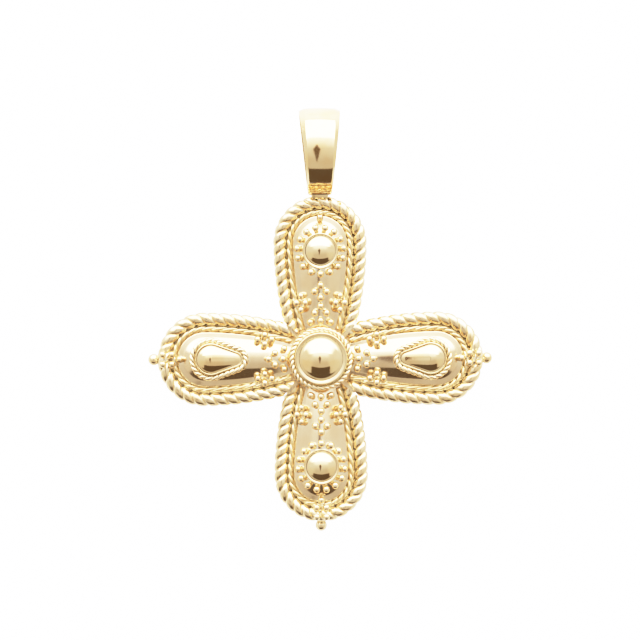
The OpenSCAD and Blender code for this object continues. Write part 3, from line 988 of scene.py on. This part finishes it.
def tearWireMesh(arm):
    grown = gap + tear["bandThickness"] + gap + tearRing["diameter"] / 2
    runEnd = 2 * sum(tearRuns(grown))
    count = tearRing["turns"] * tearRing["pointsPerTurn"]
    path = []
    for i in range(count):
        x, y, heading = tearOutlineAt(grown, runEnd * i / count)
        path.append((x, y, onPetal(x, y, tearRing["diameter"] / 2), heading))
    hand = tearRing["hand"][arm] / tearRing["pointsPerTurn"]
    twists = [tearRing["phase"][arm] + hand * i for i in range(count)]
    return twistedMesh(path, twists, tearRing, True)


for arm in ("left", "right"):
    turn = armTurn[arm]
    finished(arm + "Boss", tearBossMesh(), arm + "_boss", "polishedGold", turn, sharpness=60)
    finished(arm + "Bezel", tearBezelMesh(), arm + "_bezel", "polishedGold", turn, sharpness=60)
    finished(arm + "Wire", tearWireMesh(arm), arm + "_wire", "ropeGold", turn)
print("teardrop bosses are set")


# Granules on the petals, round the round bosses and at the arms' ends

granule = {
    "diameter": 0.86,
    "pyramidAt": 4.56,
    "pyramidStep": 15.6,
    "pairAt": 5.5,
    "pairHalf": 0.72,
    "pointAt": 6.3,
    "sideFourAt": 6.72,
    "sideFourAcross": 2.35,
    "sideFourHalf": (0.54, 0.84),
    "axisFourAt": 8.07,
    "axisFourHalf": (0.72, 0.75),
    "endAt": 17.0,
    "segments": 24,
    "rings": 14,
    "spread": 0.02,
}
seeds = {"petal": 11, "beads": 31, "tip": 51}
tips = {"ball": 1.4, "ballAt": 20.05, "ballZ": 0.74, "outerAt": 19.0, "innerAt": 17.9, "pairHalf": 0.58}
granuleRadius = granule["diameter"] / 2


def onInnerWire(across, along, radius):
    reach = innerWire["diameter"] / 2 + radius + gap
    away = abs(across) - borderWidth(innerWire["inset"], along)
    if along > armEndAt:
        away = math.hypot(across, along - armEndAt) - (cross["armEndRadius"] - innerWire["inset"])
    return innerWire["centreZ"] + math.sqrt(max(0, reach ** 2 - away ** 2))


def onRope(across, along, radius):
    reach = rope["seat"] / 2 + radius + gap
    away = math.hypot(across, along - armEndAt) - (cross["armEndRadius"] - rope["seat"] / 2)
    return ropeZ + math.sqrt(reach ** 2 - away ** 2)


def onPetalOrWire(x, y):
    return x, y, max(onPetal(x, y, granuleRadius), onInnerWire(x, y, granuleRadius))


def fourGranules(across, along, half):
    spots = []
    for stepX, stepY in ((1, 0), (-1, 0), (0, 1), (0, -1)):
        x = across + stepX * half[0]
        y = along + stepY * half[1]
        spots.append(onPetalOrWire(x, y))
    return spots


def petalGranules(axisFour):
    spots = []
    for i in (-1, 0, 1):
        x, y, turn = arcAt(0, 0, granule["pyramidAt"], math.radians(90 + i * granule["pyramidStep"]))
        spots.append((x, y, onPetal(x, y, granuleRadius)))
    for side in (-1, 1):
        x = side * granule["pairHalf"]
        spots.append((x, granule["pairAt"], onPetal(x, granule["pairAt"], granuleRadius)))
    spots.append((0, granule["pointAt"], onPetal(0, granule["pointAt"], granuleRadius)))
    for side in (-1, 1):
        across = side * granule["sideFourAcross"]
        spots += fourGranules(across, granule["sideFourAt"], granule["sideFourHalf"])
    if axisFour:
        spots += fourGranules(0, granule["axisFourAt"], granule["axisFourHalf"])
    spots.append(onPetalOrWire(0, granule["endAt"]))
    return spots


def granuleMesh(spots, diameters, seed):
    inputs = {
        "Segments": granule["segments"],
        "Rings": granule["rings"],
        "Spread": granule["spread"],
        "Seed": seed,
        "Metal": gold["granuleGold"],
    }
    return madeBy(granuleField, spots, {"diameter": diameters}, inputs)


for number, (arm, turn) in enumerate(armTurn.items()):
    spots = petalGranules(arm in ("top", "bottom"))
    mesh = granuleMesh(spots, [granule["diameter"]] * len(spots), seeds["petal"] + number)
    finished(arm + "Granules", mesh, arm + "_granules", "granuleGold", turn)

for number, arm in enumerate(("top", "bottom")):
    spots = []
    for i in range(beadRing["count"]):
        swing = -math.pi / 2 + 2 * math.pi * i / beadRing["count"]
        x, y, heading = arcAt(0, roundBoss["at"], beadRing["radius"], swing)
        spots.append((x, y, onPetal(x, y, granuleRadius)))
    mesh = granuleMesh(spots, [granule["diameter"]] * len(spots), seeds["beads"] + number)
    finished(arm + "Beads", mesh, arm + "_beads", "granuleGold", armTurn[arm])

for number, arm in enumerate(("left", "right", "bottom")):
    spots = [(0, tips["ballAt"], tips["ballZ"])]
    for along in (tips["outerAt"], tips["innerAt"]):
        for side in (-1, 1):
            x = side * tips["pairHalf"]
            spots.append((x, along, onRope(x, along, granuleRadius)))
    diameters = [tips["ball"]] + [granule["diameter"]] * 4
    mesh = granuleMesh(spots, diameters, seeds["tip"] + number)
    finished(arm + "Tip", mesh, arm + "_tip", "granuleGold", armTurn[arm])
print("granules are placed")


# Bail: a tapered strap bent round into a loop that is flat behind

bail = {
    "height": 10.6,
    "topWidth": 5.1,
    "footWidth": 2.8,
    "wall": 0.75,
    "crownRadius": 6.5,
    "sideCrown": 0.35,
    "back": 1.6,
    "bevel": 0.25,
    "bevelFoot": 0.12,
    "bevelSlope": 0.95,
    "bevelFlat": 0.1,
    "frontSoft": 0.12,
    "sideSoft": 0.08,
    "innerSoft": 0.1,
    "arcSteps": 96,
    "cornerSteps": 14,
    "flatSteps": 12,
    "divisions": 16,
    "longSide": 0.2,
}
tongue = {"width": 2.0, "length": 1.6, "corner": 0.12, "footEdge": 0.06, "topEdge": 0.08}
solder = {
    "onRope": (8, 58),
    "onRopeSteps": 6,
    "crestBack": 0.25,
    "crestZ": 2.44,
    "crestSoft": 0.06,
    "length": 0.7,
    "topZ": 2.66,
    "low": 0.12,
    "middle": (0.2, 0.5),
    "ends": ((0, 0.84), (0.08, 0.96), (0.2, 1)),
}
bailRadius = bail["height"] / 2
bailY = cross["armReach"] + gap + bailRadius


# Points of the loop seen from its side: centre of the bend, direction outwards, reach, crown share
def bailStations():
    stations = []
    side = bail["sideCrown"]
    inner = bailRadius - bail["back"]

    def corner(y, start):
        for i in range(bail["cornerSteps"]):
            turn = start + math.pi / 2 * i / bail["cornerSteps"]
            share = side * math.cos(turn) ** 2
            stations.append((y, 0, math.cos(turn), math.sin(turn), bail["back"], share))

    for i in range(bail["arcSteps"]):
        turn = math.pi * i / bail["arcSteps"]
        share = side + (1 - side) * math.sin(turn) ** 2
        stations.append((0, 0, math.cos(turn), math.sin(turn), bailRadius, share))
    corner(-inner, math.pi)
    for i in range(bail["flatSteps"]):
        y = -inner + 2 * inner * i / bail["flatSteps"]
        stations.append((y, 0, 0, -1, bail["back"], 0.0))
    corner(inner, 1.5 * math.pi)
    return stations


def bailHalfWidth(y):
    share = (y + bailRadius) / (2 * bailRadius)
    return (bail["footWidth"] + (bail["topWidth"] - bail["footWidth"]) * share) / 2


# Adds points on the long sides of a section, in step with its first corner
def divided(section):
    points = []
    parts = bail["divisions"]
    for i, (x, z) in enumerate(section):
        points.append((x, z))
        nextX, nextZ = section[(i + 1) % len(section)]
        if abs(nextX - x) > bail["longSide"] and abs(nextZ - z) < 1e-6:
            points += [(x + (nextX - x) * k / parts, z) for k in range(1, parts)]
    return points


def bailMesh():
    rings = []
    crown = bail["crownRadius"]
    for cy, cz, ny, nz, reach, share in bailStations():
        half = bailHalfWidth(cy + ny * reach)
        up = (cy + ny * reach + bailRadius) / bail["height"]
        bevel = half * (bail["bevelFoot"] + (bail["bevel"] - bail["bevelFoot"]) * up)
        drop = bevel * bail["bevelSlope"] * (bail["bevelFlat"] + (1 - bail["bevelFlat"]) * share)
        section = softened([
            (-half + bevel, 0, bail["frontSoft"]),
            (half - bevel, 0, bail["frontSoft"]),
            (half, drop, bail["sideSoft"]),
            (half, bail["wall"], bail["innerSoft"]),
            (-half, bail["wall"], bail["innerSoft"]),
            (-half, drop, bail["sideSoft"]),
        ])
        section = divided(section)
        ring = []
        for x, drawn in section:
            fall = share * (crown - math.sqrt(crown ** 2 - x ** 2)) * max(0, 1 - drawn / bail["wall"])
            level = reach - drawn - fall
            y = cy + ny * level
            ring.append((x * bailHalfWidth(y) / half, bailY + y, bail["back"] + cz + nz * level))
        rings.append(ring)
    return hoop(rings)


# Tongue at the strap's foot, a pad with soft corners that meets the back plate
def tongueMesh():
    half = tongue["width"] / 2
    low = cross["armReach"] - backPlate["inset"] + gap
    high = low + tongue["length"]
    corners = [(-half, low), (half, low), (half, high), (-half, high)]
    foot = tongue["footEdge"]
    edge = tongue["topEdge"]
    top = cross["backThickness"]
    rings = []
    for drawn, z in ((foot, 0), (0, foot), (0, top - edge), (edge, top)):
        outline = softened([(x - math.copysign(drawn, x), y, tongue["corner"]) for x, y in corners])
        rings.append([(x, y, z) for x, y in outline])
    return hoop(rings, False)


# Solder that fills the corner between the strap's foot and the rope
def solderMesh():
    reach = cross["armReach"]
    half = tongue["width"] / 2
    ropeRadius = rope["seat"] / 2
    first, last = solder["onRope"]
    corners = []
    for i in range(solder["onRopeSteps"] + 1):
        turn = math.radians(first + (last - first) * i / solder["onRopeSteps"])
        y, z, turn = arcAt(reach - ropeRadius, ropeZ, ropeRadius + 2 * gap, turn)
        corners.append((y, z, 0))
    corners += [(reach - solder["crestBack"], solder["crestZ"], solder["crestSoft"]),
                (reach + solder["length"], solder["topZ"], 0),
                (reach + solder["length"], ropeZ + solder["low"], 0)]
    section = softened(corners)
    middle = Vector((reach + solder["middle"][0], ropeZ + solder["middle"][1]))
    ends = [(inward - half, share) for inward, share in solder["ends"]]
    rings = []
    for x, share in ends + [(-x, share) for x, share in reversed(ends)]:
        ring = [middle + (Vector(corner) - middle) * share for corner in section]
        rings.append([(x, point.x, point.y) for point in ring])
    return hoop(rings, False)


def joined(first, *others):
    work = bmesh.new()
    for mesh in (first, *others):
        work.from_mesh(mesh)
    work.to_mesh(first)
    work.free()
    return first


bailWhole = joined(bailMesh(), tongueMesh(), solderMesh())
finished("bail", bailWhole, "bail", "polishedGold", sharpness=50)
print("bail is bent")


rampTop = 4.0


# Level read off a list of (degrees from -90 to 90, level)
def levelsBy(tree, value, levels):
    ramp = tree.nodes.new("ShaderNodeValToRGB")
    stops = ramp.color_ramp.elements
    while len(stops) < len(levels):
        stops.new(0.5)
    for stop, (at, level) in zip(stops, levels):
        stop.position = (at + 90) / 180
        stop.color = (level / rampTop,) * 3 + (1,)
    tree.links.new(reckon(tree, "DIVIDE", reckon(tree, "ADD", value, 90.0), 180.0), ramp.inputs[0])
    return reckon(tree, "MULTIPLY", ramp.outputs["Color"], rampTop)


# Pale floor: pure white to the camera; to the gold it glows with painted light, brighter towards the bail
# and dimmer far out, and shows a painted dark patch far in front

floor = {
    "half": 1.5,
    "z": -0.00003,
    "seen": 3.4,
    "bailAt": 0.022,
    # Painted light: the floor's glow for the gold, by bearing from the bail
    "felt": ((-90, 0.8), (-30, 0.8), (-10, 0.75), (10, 0.6), (40, 0.8), (60, 1.6), (90, 1.9)),
    "farShare": 0.55,
    "farFrom": (0.05, 0.12),
    "frontFrom": (-0.04, -0.06),
    "frontBearing": (-75, -60),
    "front": 0.05,
    "pale": (0.4, 0.4, 0.395, 1),
    "frontShade": (0.06, 0.045, 0.03, 1),
}


def floorMaterial():
    material = bpy.data.materials.new("paleFloor")
    material.use_nodes = True
    tree = material.node_tree
    shader = tree.nodes["Principled BSDF"]
    shader.inputs["Roughness"].default_value = 0.7
    shader.inputs["Emission Color"].default_value = (1, 1, 1, 1)
    place = tree.nodes.new("ShaderNodeTexCoord").outputs["Object"]
    split = tree.nodes.new("ShaderNodeSeparateXYZ")
    tree.links.new(place, split.inputs[0])
    aside = reckon(tree, "ABSOLUTE", split.outputs["X"])
    beyond = reckon(tree, "SUBTRACT", split.outputs["Y"], floor["bailAt"])
    bearing = reckon(tree, "MULTIPLY", reckon(tree, "ARCTAN2", beyond, aside), 180 / math.pi)
    away = reckon(tree, "MAXIMUM", aside, reckon(tree, "ABSOLUTE", split.outputs["Y"]))
    # Painted light: the glow the gold sees, brighter on the bail's side as if lit by the softbox, dimmer
    # further out
    nearShare = eased(tree, away, *floor["farFrom"], 1.0, floor["farShare"])
    felt = reckon(tree, "MULTIPLY", levelsBy(tree, bearing, floor["felt"]), nearShare)
    # Painted shade: a dark patch in front, in both the floor's colour and its glow, that the gold reflects
    front = eased(tree, split.outputs["Y"], *floor["frontFrom"])
    front = reckon(tree, "MULTIPLY", front, eased(tree, bearing, *floor["frontBearing"], 1.0, 0.0))
    felt = mixedLevel(tree, front, felt, floor["front"])
    tree.links.new(blended(tree, front, floor["pale"], floor["frontShade"]), shader.inputs["Base Color"])
    ray = tree.nodes.new("ShaderNodeLightPath").outputs["Is Camera Ray"]
    lit = reckon(tree, "MULTIPLY_ADD", ray, reckon(tree, "SUBTRACT", floor["seen"], felt), felt)
    tree.links.new(lit, shader.inputs["Emission Strength"])
    return material


half = floor["half"]
corners = [(x, y, floor["z"]) for x, y in ((-half, -half), (half, -half), (half, half), (-half, half))]
floorMesh = bpy.data.meshes.new("floor")
floorMesh.from_pydata(corners, [], [(0, 1, 2, 3)])
floorMesh.materials.append(floorMaterial())
floorPiece = bpy.data.objects.new("floor", floorMesh)
scene.collection.objects.link(floorPiece)


# Studio: a large softbox beyond the bail, a pale room, a dark card in front of the foot, and a
# narrow dark hood overhead.
# Levels are listed by how far a direction tips towards the bail, in degrees.

studio = {
    "room": ((-90, 0.75), (-50, 0.75), (-35, 0.76), (-24, 0.78), (-13, 0.88), (-3, 1.0), (7, 1.13),
             (18, 1.75), (28, 2.4), (39, 3.2), (60, 3.4), (90, 2.4)),
    "sideStart": (0.5, 0.8),
    "sideFrom": (-0.6, 0.6),
    "sideLevels": (0.95, 1.2),
    "softbox": 6.5,
    "softboxStart": (33, 40),
    "softboxHalf": (0.64, 0.88),
    "softboxBack": (100, 115),
    "card": 0.135,
    "cardTint": (1, 0.72, 0.5, 1),
    "cardEdge": (-49, -46),
    "cardBack": (-108, -104),
    "cardHalf": (48, 52),
    "cardWide": (0.44, 0.49),
    "hood": 0.22,
    "hoodAt": (-6.5, 4.0),
    "hoodReach": (8.0, 14.0, 36.0),
    "hoodEdge": (0.85, 1.1),
    "hoodFrom": (0.1, 0.3),
    "warmStart": (5, -30),
    "warmTint": (1, 0.95, 0.84, 1),
    "seen": 4.5,
}


def studioWorld():
    world = bpy.data.worlds.new("studio")
    world.use_nodes = True
    tree = world.node_tree
    light = tree.nodes["Background"]
    way = tree.nodes.new("ShaderNodeTexCoord").outputs["Generated"]
    split = tree.nodes.new("ShaderNodeSeparateXYZ")
    tree.links.new(way, split.inputs[0])
    x, y, z = split.outputs
    degrees = 180 / math.pi
    tipUp = reckon(tree, "MULTIPLY", reckon(tree, "ARCTAN2", y, z), degrees)
    tipSide = reckon(tree, "MULTIPLY", reckon(tree, "ARCTAN2", x, z), degrees)
    across = reckon(tree, "ABSOLUTE", x)
    level = levelsBy(tree, tipUp, studio["room"])
    side = eased(tree, y, *studio["sideFrom"], *studio["sideLevels"])
    level = mixedLevel(tree, eased(tree, across, *studio["sideStart"]), level, side)
    box = eased(tree, tipUp, *studio["softboxStart"])
    box = reckon(tree, "MULTIPLY", box, eased(tree, across, *studio["softboxHalf"], 1.0, 0.0))
    box = reckon(tree, "MULTIPLY", box, eased(tree, tipUp, *studio["softboxBack"], 1.0, 0.0))
    level = mixedLevel(tree, box, level, studio["softbox"])
    low = eased(tree, tipUp, *studio["cardEdge"], 1.0, 0.0)
    low = reckon(tree, "MULTIPLY", low, eased(tree, tipUp, *studio["cardBack"]))
    azimuth = reckon(tree, "ARCTAN2", across, reckon(tree, "MULTIPLY", y, -1.0))
    azimuth = reckon(tree, "MULTIPLY", azimuth, degrees)
    card = reckon(tree, "MULTIPLY", low, eased(tree, azimuth, *studio["cardHalf"], 1.0, 0.0))
    wide = reckon(tree, "DIVIDE", across, reckon(tree, "ADD", z, 1.0))
    card = reckon(tree, "MULTIPLY", card, eased(tree, wide, *studio["cardWide"], 1.0, 0.0))
    level = mixedLevel(tree, card, level, studio["card"])
    aside = reckon(tree, "ABSOLUTE", reckon(tree, "SUBTRACT", tipSide, studio["hoodAt"][0]))
    above = reckon(tree, "SUBTRACT", tipUp, studio["hoodAt"][1])
    below = reckon(tree, "MULTIPLY", above, -1.0)
    reachOut = reckon(tree, "DIVIDE", aside, studio["hoodReach"][0])
    for offset, reach in zip((above, below), studio["hoodReach"][1:]):
        part = reckon(tree, "DIVIDE", reckon(tree, "MAXIMUM", offset, 0.0), reach)
        reachOut = reckon(tree, "ADD", reachOut, part)
    hood = eased(tree, reachOut, *studio["hoodEdge"], 1.0, 0.0)
    hood = reckon(tree, "MULTIPLY", hood, eased(tree, z, *studio["hoodFrom"]))
    level = mixedLevel(tree, hood, level, studio["hood"])
    ray = tree.nodes.new("ShaderNodeLightPath").outputs["Is Camera Ray"]
    tree.links.new(mixedLevel(tree, ray, level, studio["seen"]), light.inputs["Strength"])
    shade = reckon(tree, "MAXIMUM", card, hood)
    warmth = eased(tree, tipUp, *studio["warmStart"])
    colour = blended(tree, warmth, (1, 1, 1, 1), studio["warmTint"])
    tree.links.new(blended(tree, shade, colour, studio["cardTint"]), light.inputs["Color"])
    return world


scene.world = studioWorld()

# A soft shoulder keeps the brightest gold from clipping to flat patches
shoulder = {
    "white": 4.5,
    "points": ((0.25, 0.25), (0.5, 0.49), (0.7, 0.655), (1.0, 0.8), (1.5, 0.91), (2.1, 0.96), (3.0, 0.985)),
}
scene.view_settings.view_transform = "Standard"
scene.view_settings.look = "None"
scene.view_settings.use_curve_mapping = True
toneCurve = scene.view_settings.curve_mapping
toneCurve.white_level = (shoulder["white"],) * 3
for level, shown in shoulder["points"]:
    point = toneCurve.curves[3].points.new(level / shoulder["white"], shown)
    point.handle_type = "AUTO_CLAMPED"
toneCurve.update()

# Camera: nearly straight above, a little to the left, through a long lens
shot = {"lens": 280.5, "distance": 0.6, "target": (-0.000044, 0.004752, 0.0016), "left": 1.6, "roll": 0.3}
lensData = bpy.data.cameras.new("camera")
lensData.lens = shot["lens"]
lensData.sensor_width = 36
camera = bpy.data.objects.new("camera", lensData)
lean = math.radians(shot["left"])
aim = Vector(shot["target"])
camera.location = aim + Vector((-math.sin(lean), 0, math.cos(lean))) * shot["distance"]
camera.rotation_euler = (0, -lean, -math.radians(shot["roll"]))
scene.collection.objects.link(camera)
scene.camera = camera
print("studio and camera are ready")
